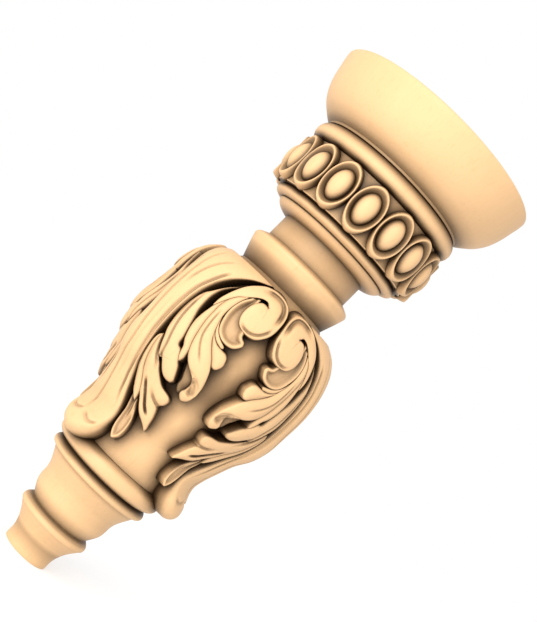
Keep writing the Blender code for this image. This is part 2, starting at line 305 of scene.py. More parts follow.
@dataclass(frozen=True)
class TurnedLeg:
    """The leg as it comes off the lathe."""

    members: tuple[Member, ...] = TURNING
    facets: int = 160
    crease_deg: float = 38.0
    merge_mm: float = 0.002

    def build(self, material: bpy.types.Material) -> bpy.types.Object:
        """Spin the outline of all members round the upright axis.

        Args:
            material: The wood.

        Returns:
            The turned leg.
        """
        form = bmesh.new()
        outline = [point for member in self.members for point in member.outline()]
        rail = [form.verts.new((radius * MM, 0.0, height * MM)) for radius, height in outline]
        edges = [form.edges.new(pair) for pair in zip(rail, rail[1:])]
        bmesh.ops.spin(
            form, geom=rail + edges, cent=(0, 0, 0), axis=(0, 0, 1), angle=math.tau, steps=self.facets,
            use_merge=True,
        )
        bmesh.ops.remove_doubles(form, verts=form.verts, dist=self.merge_mm * MM)
        bmesh.ops.recalc_face_normals(form, faces=form.faces)
        piece = new_piece("turned_leg", form, material)
        piece.data.set_sharp_from_angle(angle=math.radians(self.crease_deg))
        return piece


@dataclass(frozen=True)
class EggRow:
    """The band of eggs round the drum, each in a raised ring, in millimetres. A relief is above the drum."""

    drum_radius: float = 34.7
    middle_height: float = 193.3
    egg_half_width: float = 4.75
    egg_relief: float = 5.0
    egg_fullness: float = 0.06
    height_to_width: float = 1.61
    egg_sides: int = 40
    egg_bands: int = 26
    ring_sides: int = 60
    # The ring's section from its foot under the egg over its crest to its outer foot: half the oval's width,
    # and the relief
    ring_section: tuple[tuple[float, float], ...] = (
        (4.1, 0.2), (4.4, 1.0), (4.75, 1.5), (5.15, 2.1), (5.55, 2.9), (5.85, 3.45), (6.1, 3.6), (6.35, 3.45),
        (6.6, 2.8), (6.8, 1.8), (6.92, 0.7), (7.0, -1.0),
    )

    def bend(self, form: bmesh.types.BMesh, angle_deg: float) -> None:
        """Bend a form modelled flat, with its front towards +Z, round the drum.

        Args:
            form: The form, in millimetres: X round the drum, Y up it and Z out of it.
            angle_deg: Angle of its middle round the leg.
        """
        for vert in form.verts:
            across, up, out = vert.co
            turn = angle_deg + math.degrees(across / self.drum_radius)
            vert.co = on_leg(turn, (self.middle_height + up) * MM, (self.drum_radius + out) * MM)

    def egg(self) -> bmesh.types.BMesh:
        """Model one egg flat: a ball drawn out upwards, a little fuller above its middle.

        Returns:
            The egg's mesh in millimetres.
        """
        form = bmesh.new()
        bmesh.ops.create_uvsphere(form, u_segments=self.egg_sides, v_segments=self.egg_bands, radius=1.0)
        for vert in form.verts:
            vert.co.x *= 1 + self.egg_fullness * vert.co.y
        half_height = self.egg_half_width * self.height_to_width
        bmesh.ops.scale(form, vec=(self.egg_half_width, half_height, self.egg_relief), verts=form.verts)
        return form

    def ring(self) -> bmesh.types.BMesh:
        """Model one ring flat: its section spun in a circle and drawn out into an oval.

        Returns:
            The ring's mesh in millimetres.
        """
        form = bmesh.new()
        rail = [form.verts.new((half_width, 0.0, relief)) for half_width, relief in self.ring_section]
        edges = [form.edges.new(pair) for pair in zip(rail, rail[1:] + rail[:1])]
        bmesh.ops.spin(
            form, geom=rail + edges, cent=(0, 0, 0), axis=(0, 0, 1), angle=math.tau, steps=self.ring_sides,
            use_merge=True,
        )
        bmesh.ops.scale(form, vec=(1.0, self.height_to_width, 1.0), verts=form.verts)
        return form

    def build(self, material: bpy.types.Material) -> bpy.types.Object:
        """Set all eggs and rings round the drum.

        Args:
            material: The wood.

        Returns:
            The band of eggs.
        """
        row = bmesh.new()
        for index in range(EGGS):
            for part in (self.egg(), self.ring()):
                bmesh.ops.recalc_face_normals(part, faces=part.faces)
                self.bend(part, index * 360.0 / EGGS)
                mesh = bpy.data.meshes.new("egg_part")
                part.to_mesh(mesh)
                part.free()
                row.from_mesh(mesh)
                bpy.data.meshes.remove(mesh)
        bmesh.ops.recalc_face_normals(row, faces=row.faces)
        return new_piece("egg_row", row, material)


def nearest(points: np.ndarray, line: np.ndarray) -> tuple[np.ndarray, np.ndarray]:
    """Find where points are nearest to a broken line.

    Args:
        points: The points, one a row.
        line: The line's corners, one a row.

    Returns:
        Each point's distance from the line, and how far along the line its nearest place is.
    """
    start, step = line[:-1], np.diff(line, axis=0)
    square = np.maximum((step**2).sum(axis=1), TINY_SQUARE)
    gap = points[:, None, :] - start[None]
    place = np.clip((gap * step[None]).sum(axis=2) / square, 0, 1)
    away = np.linalg.norm(gap - step[None] * place[:, :, None], axis=2)
    pick = (np.arange(len(points)), away.argmin(axis=1))
    lengths = np.sqrt(square)
    run = (np.cumsum(lengths) - lengths)[None] + place * lengths[None]
    return away[pick], run[pick]


@dataclass(frozen=True)
class Crease:
    """A cut along a line on a leaf's face, or with a negative depth a ridge.

    The line is degrees from the gap between two leaves, and height in millimetres. It is sampled a few times
    between its points. The other sizes are in millimetres: fade is how far from its two ends the cut has its
    full depth.
    """

    line: tuple[tuple[float, float], ...]
    depth: float
    width: float
    fade: tuple[float, float]

    SAMPLES = 4

    def cut(self, spots: np.ndarray) -> np.ndarray:
        """Work out how deep the cut is.

        Args:
            spots: Degrees and height of each point, by row and column.

        Returns:
            The depth at each point in millimetres.
        """
        knots = np.array(self.line)
        last = len(knots) - 1
        curve = spline(knots, np.linspace(0, last, self.SAMPLES * last + 1)) * ON_FACE
        away, run = nearest(spots.reshape(-1, 2) * ON_FACE, curve)
        length = np.linalg.norm(np.diff(curve, axis=0), axis=1).sum()
        start, end = self.fade
        depth = self.depth * np.clip(run / start, 0, 1) * np.clip((length - run) / end, 0, 1)
        return (depth * np.exp(-((away / self.width) ** 2))).reshape(spots.shape[:2])


@dataclass(frozen=True)
class Strip:
    """One carved strip of a leaf, from its root to its tip.

    A row gives both edges of the strip there: degrees from the gap between two leaves, and height in
    millimetres. The outline runs along the first edges, round the tip and back along the second ones. The
    other sizes are in millimetres: rise lifts the face off the leaf's own at the root and at the tip, crown is
    how far the face falls within its reach of the outline, dish is how far it sinks inside its rim, and lean
    is how far its walls slope out to its foot. shared is the share of the strip's length from its root where
    its first and its second edge meet a neighbour in a soft crease. Past free_rows the second edge doesn't
    round the face. face is the leaf's radius over height, and columns and steps set how fine the mesh is.
    """

    rows: tuple[tuple[float, float, float, float], ...]
    tip: tuple[float, float]
    rise: tuple[float, float] = (0.0, 0.0)
    crown: float = 0.7
    reach: float = 3.6
    dish: float = 0.0
    rim: float = 1.0
    shared: tuple[float, float] = (0.0, 0.0)
    creases: tuple[Crease, ...] = ()
    face: Curve = LEAF_FACE
    free_rows: int = 99
    columns: int = 22
    steps: int = 5
    lean: float = 0.55

    # Width and depth of the rounding of an edge in a soft crease and of one that stands free
    SOFT_EDGE = (0.9, 0.22)
    FREE_EDGE = (0.8, 0.8)
    # How far soft edges lap their neighbours, and the share of the length over which an edge comes free
    LAP = 0.15
    FREEING = 0.1
    # How far inside its rim a dish reaches its depth
    DISH_RUN = 2.4
    # A wall's shoulder stands this far out from the edge, at this share of the height above the foot
    SHOULDER_OUT = 0.12
    SHOULDER_UP = 0.75
    # Depth of the foot under the bulb's face
    FOOT_DEPTH = 1.2
    # Rows round the tip for a step along the strip, and rows back from the tip that give its direction
    TIP_ROWS = 3
    BACK_ROWS = 3
    # Half the side of the flat sheet that a strip is bent from, and the distance within which doubles merge
    HALF_SHEET = 0.5
    MERGE = 0.0001

    def outline(self) -> tuple[np.ndarray, np.ndarray, np.ndarray]:
        """Sample both edges of the strip.

        Returns:
            Places along the strip in rows, and the first and the second edge there in degrees and
            millimetres.
        """
        rows = np.array(self.rows)
        count = len(rows)
        path = np.vstack([rows[:, :2], [self.tip], rows[::-1, 2:]])
        whole = np.linspace(0, count - 1, (count - 1) * self.steps + 1)
        turn = np.linspace(0, 1, self.steps * self.TIP_ROWS + 1)[1:]
        along = np.concatenate([whole, count - 1 + np.sin(turn * math.pi / 2)])
        return along, spline(path, along), spline(path, 2 * count - along)

    def surface(self) -> tuple[np.ndarray, np.ndarray]:
        """Work out the strip's face and the walls along both its edges.

        Returns:
            Degrees and height of each point, and its radius in millimetres, by row and column.
        """
        along, first, second = self.outline()
        share = along / along[-1]
        aside = (first - second) * ON_FACE
        aside = aside / np.maximum(np.linalg.norm(aside, axis=1, keepdims=True), TINY_LENGTH)
        first = first + aside * self.LAP * (1 - self.freed(share, 0)[:, None]) / ON_FACE
        second = second - aside * self.LAP * (1 - self.freed(share, 1)[:, None]) / ON_FACE
        even = np.linspace(0, 1, self.columns + 1)
        columns = (even + (1 - np.cos(even * math.pi)) / 2) / 2
        spots = first[:, None, :] * (1 - columns)[None, :, None] + second[:, None, :] * columns[None, :, None]
        flat = spots.reshape(-1, 2) * ON_FACE
        off_first = nearest(flat, first * ON_FACE)[0].reshape(spots.shape[:2])
        off_second = nearest(flat, second[along <= self.free_rows] * ON_FACE)[0].reshape(spots.shape[:2])
        face = self.relief(spots, share, columns, off_first, off_second)

        middle = (first + second) / 2 * ON_FACE
        ahead = middle[-1] - middle[-1 - self.BACK_ROWS]
        ahead = ahead / max(float(np.linalg.norm(ahead)), TINY_LENGTH)
        turn = share[-self.steps * self.TIP_ROWS]
        blend = np.clip((share - turn) / (1 - turn), 0, 1)[:, None]
        out_first = (aside * (1 - blend) + ahead * blend) / ON_FACE
        out_second = (-aside * (1 - blend) + ahead * blend) / ON_FACE
        spots = np.concatenate([
            (first + out_first * self.lean)[:, None], (first + out_first * self.SHOULDER_OUT)[:, None], spots,
            (second + out_second * self.SHOULDER_OUT)[:, None], (second + out_second * self.lean)[:, None],
        ], axis=1)

        radius = BULB.radius(spots[:, :, 1]) - self.FOOT_DEPTH
        radius[:, 1] += (face[:, 0] - radius[:, 1]) * self.SHOULDER_UP
        radius[:, -2] += (face[:, -1] - radius[:, -2]) * self.SHOULDER_UP
        radius[:, 2:-2] = face
        return spots, radius

    def build(self, form: bmesh.types.BMesh) -> None:
        """Add the strip, a closed solid with its foot in the bulb, to a half leaf on the +X side of its rib.

        Args:
            form: The mesh that takes the strip.
        """
        spots, radius = self.surface()
        rows, cells = radius.shape
        sheet = bmesh.ops.create_grid(form, x_segments=rows - 1, y_segments=cells - 1, size=self.HALF_SHEET)
        grid: dict[tuple[int, int], bmesh.types.BMVert] = {}
        for vert in sheet["verts"]:
            i = round((vert.co.x + self.HALF_SHEET) * (rows - 1))
            j = round((vert.co.y + self.HALF_SHEET) * (cells - 1))
            grid[i, j] = vert
            vert.co = on_leg(HALF_LEAF_DEG - spots[i, j, 0], spots[i, j, 1] * MM, radius[i, j] * MM)
        sill = form.edges.new((grid[0, 0], grid[0, cells - 1]))
        end = [form.edges.get((grid[0, j], grid[0, j + 1])) for j in range(cells - 1)]
        feet = [form.edges.get((grid[i, j], grid[i + 1, j])) for j in (0, cells - 1) for i in range(rows - 1)]
        bmesh.ops.contextual_create(form, geom=[sill] + end)
        bmesh.ops.remove_doubles(form, verts=list(grid.values()), dist=self.MERGE * MM)
        bottom = [edge for edge in feet + [sill] if edge.is_valid]
        bmesh.ops.contextual_create(form, geom=bottom)

    def freed(self, share: np.ndarray, side: int) -> np.ndarray:
        """Tell how far an edge has left its neighbour.

        Args:
            share: Places along the strip from its root, 0, to its tip, 1.
            side: 0 for the first edge, 1 for the second.

        Returns:
            0 where the edge meets a neighbour in a soft crease, up to 1 where it stands free.
        """
        shared = self.shared[side]
        return np.clip((share - shared) / self.FREEING, 0, 1) if shared else np.ones_like(share)

    @staticmethod
    def rounding(offset: np.ndarray, width: np.ndarray, depth: np.ndarray) -> np.ndarray:
        """Work out how far a rounded edge falls.

        Args:
            offset: Each point's distance from the edge.
            width: The rounding's width there.
            depth: Its fall at the edge itself.

        Returns:
            The fall at each point.
        """
        near = 1 - np.clip(offset / width, 0, 1)
        return depth * (1 - np.sqrt(1 - near**2))

    def relief(
        self,
        spots: np.ndarray,
        share: np.ndarray,
        columns: np.ndarray,
        off_first: np.ndarray,
        off_second: np.ndarray,
    ) -> np.ndarray:
        """Work out the radius of the strip's face.

        Args:
            spots: Degrees and height of each point, by row and column.
            share: Each row's place from the root, 0, to the tip, 1.
            columns: Each column's place from the first edge, 0, to the second, 1.
            off_first: Each point's distance from the first edge.
            off_second: Each point's distance from the second edge.

        Returns:
            The radius of each point in millimetres.
        """
        offset = np.minimum(off_first, off_second)
        at_root, at_tip = self.rise
        radius = self.face.radius(spots[:, :, 1]) + (at_root + (at_tip - at_root) * share)[:, None]
        radius = radius - self.crown * (1 - np.minimum(offset / self.reach, 1)) ** 2
        inside = np.clip((offset - self.rim) / self.DISH_RUN, 0, 1)
        radius = radius - self.dish * inside**2 * (3 - 2 * inside)
        falls = []
        for side, away in enumerate((off_first, off_second)):
            freed = self.freed(share, side)[:, None]
            edges = zip(self.SOFT_EDGE, self.FREE_EDGE)
            width, depth = (soft + (free - soft) * freed for soft, free in edges)
            falls.append(self.rounding(away, width, depth))
        radius = radius - np.maximum(*falls)
        for crease in self.creases:
            radius = radius - crease.cut(spots)
        return radius


SCROLL = Strip(
    (
        (38.0, 126.3, 37.4, 126.3), (37.9, 129.6, 35.9, 128.8), (36.9, 132.8, 33.9, 131.8),
        (35.4, 136.2, 31.3, 135.0), (32.9, 140.4, 27.9, 137.2), (29.4, 143.6, 24.0, 139.7),
        (25.2, 145.9, 21.6, 140.9), (20.1, 147.0, 19.5, 141.6), (14.2, 147.4, 16.6, 141.7),
        (8.2, 147.0, 14.7, 140.5), (3.6, 145.6, 13.7, 139.0), (1.2, 142.8, 12.8, 137.6),
        (0.8, 138.2, 12.7, 136.5), (1.5, 133.7, 12.5, 136.0), (3.9, 130.3, 12.2, 136.0),
        (7.2, 127.8, 12.2, 136.0), (11.7, 126.7, 12.1, 136.0), (16.1, 126.9, 12.0, 136.0),
        (19.8, 128.0, 11.8, 136.0), (22.2, 130.7, 11.8, 136.0), (22.8, 134.5, 11.8, 136.2),
        (21.5, 137.9, 12.1, 137.2), (18.9, 140.0, 12.5, 138.4), (16.4, 140.4, 12.8, 139.6),
    ),
    (13.8, 140.2),
    rise=(0.0, -0.06),
    crown=0.4,
    shared=(0.0, 0.3),
    creases=(
        Crease(
            ((3.4, 136.0), (4.1, 134.1), (5.6, 131.8), (8.0, 129.7), (11.3, 128.4), (14.2, 128.1),
             (17.1, 128.4), (19.6, 129.4)),
            0.8, 0.5, (3.0, 3.0),
        ),
        Crease(
            ((24.0, 144.0), (20.0, 145.2), (16.0, 145.6), (11.7, 145.7), (7.6, 145.0), (4.9, 143.0),
             (4.0, 139.8), (4.3, 136.5)),
            1.9, 1.0, (4.0, 4.0),
        ),
    ),
    free_rows=9,
    columns=30,
    lean=1.4,
)
CRESCENT = Strip(
    (
        (25.6, 138.6, 20.4, 140.4), (27.6, 136.2, 19.9, 138.6), (28.8, 133.7, 19.7, 136.0),
        (29.4, 131.0, 19.6, 133.6), (29.3, 128.2, 19.0, 131.6), (28.4, 125.2, 17.8, 130.2),
        (26.9, 122.5, 16.3, 129.1), (24.8, 120.5, 14.8, 128.2), (22.2, 119.3, 13.6, 127.2),
        (19.1, 118.6, 13.0, 125.6), (15.8, 118.6, 11.9, 124.9), (12.8, 119.3, 10.8, 124.6),
        (10.8, 120.6, 9.8, 124.1),
    ),
    (9.2, 122.6),
    rise=(-0.7, -0.6),
    crown=0.2,
    dish=1.8,
    rim=0.7,
)
SLIVER = Strip(
    (
        (28.5, 124.3, 28.8, 125.3), (27.1, 121.6, 27.5, 123.2), (25.6, 119.7, 25.8, 121.4),
        (23.6, 118.3, 23.6, 119.9), (21.1, 117.3, 21.0, 118.8), (18.6, 116.8, 18.4, 118.1),
        (16.9, 116.6, 16.8, 117.7),
    ),
    (15.8, 117.1),
    rise=(-0.5, -0.8),
    crown=0.2,
    shared=(0.9, 0.9),
    columns=10,
)
UPPER_LOBE = Strip(
    (
        (28.3, 123.0, 28.6, 124.2), (26.3, 119.3, 26.2, 120.4), (24.0, 116.9, 23.8, 118.5),
        (20.0, 113.6, 20.0, 116.9), (16.5, 111.2, 16.2, 116.5), (13.8, 109.1, 12.8, 116.3),
        (11.8, 108.8, 10.8, 115.3), (10.2, 109.9, 9.8, 113.9),
    ),
    (9.2, 112.0),
    rise=(-0.2, -0.3),
    shared=(0.6, 0.0),
)
HOOKED_LOBE = Strip(
    (
        (27.9, 137.4, 26.2, 138.3), (31.2, 135.2, 27.9, 135.3), (33.6, 132.0, 29.0, 132.0),
        (34.5, 128.5, 29.4, 128.5), (34.5, 125.0, 29.0, 125.3), (34.1, 120.8, 27.2, 121.4),
        (33.0, 116.8, 24.2, 117.0), (31.6, 113.2, 20.0, 113.6), (29.9, 109.8, 16.5, 111.2),
        (27.6, 106.6, 13.6, 108.4), (24.8, 104.3, 11.2, 105.4), (21.4, 102.6, 9.6, 102.9),
        (17.8, 101.3, 8.5, 100.5), (15.7, 99.8, 8.1, 98.6), (14.8, 98.0, 7.8, 97.0), (15.0, 96.2, 8.1, 95.3),
        (16.0, 94.6, 8.6, 93.8), (15.8, 93.1, 10.0, 92.4),
    ),
    (12.8, 91.6),
    shared=(0.5, 0.52),
    creases=(
        Crease(
            ((31.9, 129.0), (31.5, 124.0), (30.9, 120.6), (29.6, 116.2), (27.1, 112.9), (23.8, 110.0),
             (20.4, 107.6), (18.4, 106.2)),
            0.55, 0.35, (5.0, 4.0),
        ),
        Crease(
            ((21.6, 102.5), (18.1, 102.1), (14.0, 101.2), (10.7, 99.7), (9.2, 98.0)),
            0.3, 0.5, (1.0, 1.5),
        ),
        Crease(((16.6, 99.9), (13.4, 98.9), (11.7, 97.0), (12.2, 94.4)), 2.0, 1.8, (1.5, 2.0)),
    ),
    columns=28,
)
INNER_LOBE = Strip(
    (
        (34.0, 131.6, 33.8, 131.9), (35.8, 129.0, 34.4, 129.2), (37.4, 126.6, 34.6, 126.8),
        (38.3, 123.5, 34.4, 124.0), (38.8, 120.6, 34.1, 120.8), (38.9, 117.5, 33.3, 117.6),
        (38.1, 114.4, 32.2, 114.4), (36.6, 111.5, 30.9, 111.4), (35.2, 109.4, 29.3, 108.8),
        (32.9, 107.2, 28.0, 106.5), (32.0, 105.0, 27.4, 104.6), (30.8, 103.0, 27.8, 103.0),
    ),
    (29.0, 101.7),
    shared=(0.12, 0.7),
    columns=14,
)
FIRST_FAN = Strip(
    (
        (35.5, 137.9, 35.0, 137.7), (39.0, 135.6, 38.0, 135.3), (42.0, 132.8, 40.6, 132.4),
        (44.6, 130.1, 41.9, 129.4), (47.4, 127.6, 42.4, 126.5), (49.1, 124.6, 42.1, 123.5),
        (50.1, 120.6, 41.3, 120.6), (50.0, 116.2, 39.3, 117.0), (48.9, 111.8, 37.1, 112.7),
        (47.2, 107.5, 35.8, 109.9), (45.0, 104.3, 34.9, 106.6), (43.2, 101.2, 32.0, 105.7),
        (41.2, 98.7, 29.8, 103.4), (39.9, 97.5, 28.2, 101.5), (38.9, 98.9, 26.9, 100.6),
        (37.0, 97.7, 26.0, 99.6), (34.4, 95.7, 25.0, 98.2), (31.9, 94.2, 24.1, 96.8),
        (29.4, 93.4, 23.4, 95.7), (26.8, 93.2, 23.2, 94.8),
    ),
    (24.5, 93.6),
    creases=(
        Crease(
            ((46.8, 127.0), (46.6, 124.0), (46.5, 120.0), (45.9, 115.5), (44.2, 111.0), (41.9, 106.5),
             (40.5, 103.8), (39.7, 101.4), (39.2, 99.0)),
            0.75, 0.45, (5.0, 0.1),
        ),
    ),
    columns=28,
)
SECOND_FAN = Strip(
    (
        (46.9, 104.8, 45.2, 104.9), (47.2, 102.3, 43.5, 101.6), (47.1, 100.0, 41.2, 99.0),
        (46.5, 97.2, 38.9, 97.2), (45.9, 95.0, 36.2, 96.0), (45.0, 92.8, 33.6, 94.0),
        (43.9, 90.6, 30.6, 92.3), (42.6, 89.1, 27.6, 90.9), (41.4, 88.0, 25.1, 90.2),
        (40.2, 86.9, 21.6, 89.8), (38.9, 85.6, 18.6, 89.3), (37.9, 84.4, 16.9, 88.3),
        (36.9, 83.3, 16.8, 86.8), (35.9, 82.4, 17.9, 85.1), (34.6, 81.4, 20.0, 83.7),
        (32.6, 79.9, 19.2, 82.4), (30.6, 78.5, 18.1, 81.0), (28.1, 77.0, 16.8, 79.0),
        (25.1, 75.8, 16.0, 77.0), (22.1, 75.0, 15.2, 75.2), (18.6, 73.9, 14.6, 74.0),
    ),
    (15.2, 72.7),
    shared=(0.6, 0.0),
    creases=(
        Crease(
            ((45.4, 105.0), (43.5, 101.2), (41.4, 98.2), (38.1, 95.3), (34.9, 91.2)),
            0.7, 0.55, (0.1, 6.0),
        ),
        Crease(
            ((19.2, 83.3), (21.1, 83.8), (23.1, 84.1), (26.4, 85.0), (29.4, 86.2), (32.6, 87.6)),
            0.9, 0.6, (0.1, 5.0),
        ),
        Crease(
            ((38.9, 89.0), (35.9, 86.6), (32.6, 84.2), (29.1, 81.6), (25.6, 79.5), (20.6, 77.6)),
            1.5, 0.55, (2.5, 3.0),
        ),
    ),
    columns=30,
)
LOWER_STRIP = Strip(
    (
        (46.5, 105.4, 45.9, 105.0), (48.8, 103.6, 46.9, 103.2), (49.7, 100.6, 47.1, 100.3),
        (49.7, 96.8, 46.4, 96.3), (49.5, 92.6, 45.0, 92.2), (49.1, 90.0, 43.5, 90.0),
        (47.4, 87.6, 41.9, 88.5), (45.6, 85.5, 40.5, 87.1), (43.8, 83.6, 38.9, 85.6),
        (41.9, 81.7, 37.5, 84.1), (39.6, 80.2, 36.2, 82.7), (37.4, 79.1, 35.2, 81.2),
    ),
    (35.1, 78.7),
    shared=(0.0, 0.8),
    columns=16,
)
SPOON_LEAF = Strip(
    (
        (42.4, 81.8, 34.4, 81.0), (40.9, 79.1, 32.7, 78.8), (39.6, 76.7, 31.1, 77.0),
        (38.4, 73.8, 29.2, 74.8), (37.8, 71.6, 27.4, 72.7), (37.0, 69.2, 26.2, 70.4),
        (36.1, 67.0, 25.5, 67.8), (34.8, 65.2, 25.6, 65.4), (33.1, 63.6, 26.6, 63.5),
    ),
    (29.8, 61.9),
    rise=(-2.4, -0.2),
    crown=0.2,
    dish=1.2,
    rim=0.4,
    creases=(Crease(((35.0, 80.0), (33.8, 77.0), (32.5, 74.0), (31.7, 70.8)), -1.0, 0.9, (0.1, 3.0)),),
)
WEB = Strip(
    (
        (26.6, 105.6, 26.2, 105.9), (24.9, 102.8, 22.5, 104.4), (23.2, 100.0, 18.0, 102.8),
        (21.6, 97.4, 14.8, 100.2), (21.4, 95.2, 13.9, 97.2), (19.6, 93.4, 14.3, 94.6),
    ),
    (17.6, 92.8),
    rise=(-3.6, -4.6),
    crown=0.0,
    columns=10,
)
SIDE_STRIPS = (
    SCROLL, CRESCENT, SLIVER, UPPER_LOBE, HOOKED_LOBE, INNER_LOBE, FIRST_FAN, SECOND_FAN, LOWER_STRIP,
    SPOON_LEAF, WEB,
)


@dataclass(frozen=True)
class Rib(Strip):
    """A leaf's middle lobe: a crowned back with creases along it, and a ball of a tip."""

    # Height in millimetres, half the width in degrees, and the fall from the ridge to the edges and the
    # rounding of the edges in millimetres
    sections: tuple[tuple[float, float, float, float], ...] = ()

    ROUNDNESS = 2.2

    @classmethod
    def from_sections(cls, sections: tuple[tuple[float, float, float, float], ...], **sizes: object) -> Rib:
        """Make a rib that is as wide on both sides of the leaf's middle.

        Args:
            sections: Height, half width, fall and rounding from the root to the tip.
            sizes: The other sizes of a strip.

        Returns:
            The rib.
        """
        rows = tuple((HALF_LEAF_DEG - half, z, HALF_LEAF_DEG + half, z) for z, half, _, _ in sections)
        return cls(rows, sections=sections, **sizes)

    def relief(
        self,
        spots: np.ndarray,
        share: np.ndarray,
        columns: np.ndarray,
        off_first: np.ndarray,
        off_second: np.ndarray,
    ) -> np.ndarray:
        """Work out the radius of the rib's face.

        Args:
            spots: Degrees and height of each point, by row and column.
            share: Each row's place from the root, 0, to the tip, 1.
            columns: Each column's place from the first edge, 0, to the second, 1.
            off_first: Each point's distance from the first edge.
            off_second: Each point's distance from the second edge.

        Returns:
            The radius of each point in millimetres.
        """
        table = np.array(self.sections)[::-1]
        height = spots[:, :, 1]
        fall = np.interp(height, table[:, 0], table[:, 2])
        edge = np.interp(height, table[:, 0], table[:, 3])
        across = np.abs(2 * columns - 1)[None, :]
        radius = self.face.radius(height) - fall * across**self.ROUNDNESS
        radius = radius - self.rounding(np.minimum(off_first, off_second), edge, edge)
        for crease in self.creases:
            radius = radius - crease.cut(spots)
        return radius


# Creases on the rib: degrees from the rib's middle, and height in millimetres
SIDE_CREASE = (
    (15.4, 141.0), (13.0, 137.5), (11.2, 134.0), (9.7, 130.5), (8.6, 127.5), (8.0, 123.5), (7.8, 120.0),
    (7.5, 115.0), (7.5, 110.0), (7.9, 105.0), (8.6, 101.0), (9.1, 97.0), (9.4, 93.0), (9.3, 89.0),
    (9.5, 85.0), (10.4, 82.5), (11.3, 80.0), (12.2, 77.5), (13.5, 75.0), (14.8, 72.5), (15.8, 70.5),
)
MIDDLE_CREASE = (
    (6.4, 146.5), (5.9, 142.0), (4.8, 137.0), (3.5, 132.0), (2.6, 127.0), (1.9, 122.0), (1.5, 117.0),
    (1.3, 111.0), (0.6, 106.0), (-0.4, 101.0), (-0.9, 97.0), (-0.5, 93.5), (0.9, 89.5), (2.1, 86.0),
    (2.1, 81.0), (2.2, 77.0), (2.2, 73.0), (1.9, 69.0), (1.3, 65.5), (1.0, 63.0), (1.7, 61.8),
)
UPPER_CREASE = (
    (-9.4, 146.0), (-7.3, 143.5), (-5.5, 141.5), (-3.9, 139.0), (-2.6, 135.5), (-1.8, 131.5), (-1.5, 127.5),
    (-1.5, 123.5),
)
SHALLOW_CREASE = (
    (-2.2, 122.0), (-3.0, 117.0), (-3.3, 110.0), (-3.5, 103.0), (-3.6, 96.0), (-3.4, 89.0), (-2.9, 82.0),
    (-2.6, 75.0),
)
NEAR_SCALLOP = (
    (1.5, 61.8), (5.5, 61.0), (8.0, 60.3), (11.0, 59.9), (13.5, 60.3), (15.5, 61.2), (17.5, 62.8),
)
FAR_SCALLOP = (
    (1.0, 62.9), (2.2, 61.6), (3.6, 61.0), (5.6, 60.5), (8.0, 60.1), (10.5, 60.3), (12.5, 61.0), (14.5, 62.2),
)


def from_rib(line: tuple[tuple[float, float], ...], side: float = 1.0) -> tuple[tuple[float, float], ...]:
    """Measure a line from the gap instead of from the rib.

    Args:
        line: Degrees from the rib's middle, and height.
        side: 1 for the side away from the gap, or -1.

    Returns:
        Degrees from the gap, and height.
    """
    return tuple((HALF_LEAF_DEG + side * turn, height) for turn, height in line)


RIB = Rib.from_sections(
    (
        (147.8, 37.0, 1.6, 0.8), (146.9, 34.5, 1.7, 0.8), (145.6, 30.2, 1.8, 0.8), (144.1, 26.4, 1.9, 0.9),
        (142.3, 23.0, 2.0, 0.9), (139.8, 19.5, 2.0, 1.0), (136.8, 16.3, 2.1, 1.0), (133.5, 13.8, 2.2, 1.1),
        (130.3, 12.2, 2.2, 1.1), (127.0, 11.0, 2.2, 1.2), (123.5, 10.3, 2.2, 1.2), (120.0, 9.9, 2.2, 1.2),
        (115.0, 9.5, 2.2, 1.2), (110.0, 9.5, 2.2, 1.2), (105.0, 9.7, 2.2, 1.2), (100.0, 10.2, 2.2, 1.2),
        (96.0, 10.5, 2.1, 1.1), (92.0, 11.0, 2.0, 1.1), (89.0, 11.8, 1.9, 1.1), (85.0, 13.4, 1.7, 1.1),
        (80.0, 15.9, 1.4, 1.1), (76.0, 18.3, 1.2, 1.2), (72.0, 20.4, 1.0, 1.5), (68.5, 21.6, 0.9, 2.0),
        (65.5, 21.9, 0.9, 2.6), (62.0, 21.2, 1.1, 3.4), (59.0, 19.7, 1.3, 4.2), (56.5, 17.3, 1.3, 5.0),
        (54.5, 14.0, 1.0, 5.0), (52.6, 9.0, 0.6, 5.0),
    ),
    tip=(HALF_LEAF_DEG, 51.0),
    face=RIB_RIDGE,
    creases=(
        Crease(from_rib(MIDDLE_CREASE), 0.6, 0.6, (3.0, 6.0)),
        Crease(from_rib(SIDE_CREASE, -1.0), 0.8, 0.55, (4.0, 10.0)),
        Crease(from_rib(SIDE_CREASE), 0.8, 0.55, (4.0, 10.0)),
        Crease(from_rib(UPPER_CREASE), 0.65, 0.55, (4.0, 6.0)),
        Crease(from_rib(SHALLOW_CREASE), 0.3, 0.7, (8.0, 10.0)),
        Crease(from_rib(NEAR_SCALLOP, -1.0), 0.7, 0.6, (3.0, 2.5)),
        Crease(from_rib(FAR_SCALLOP), 0.7, 0.6, (2.0, 2.5)),
    ),
    columns=64,
    steps=6,
)


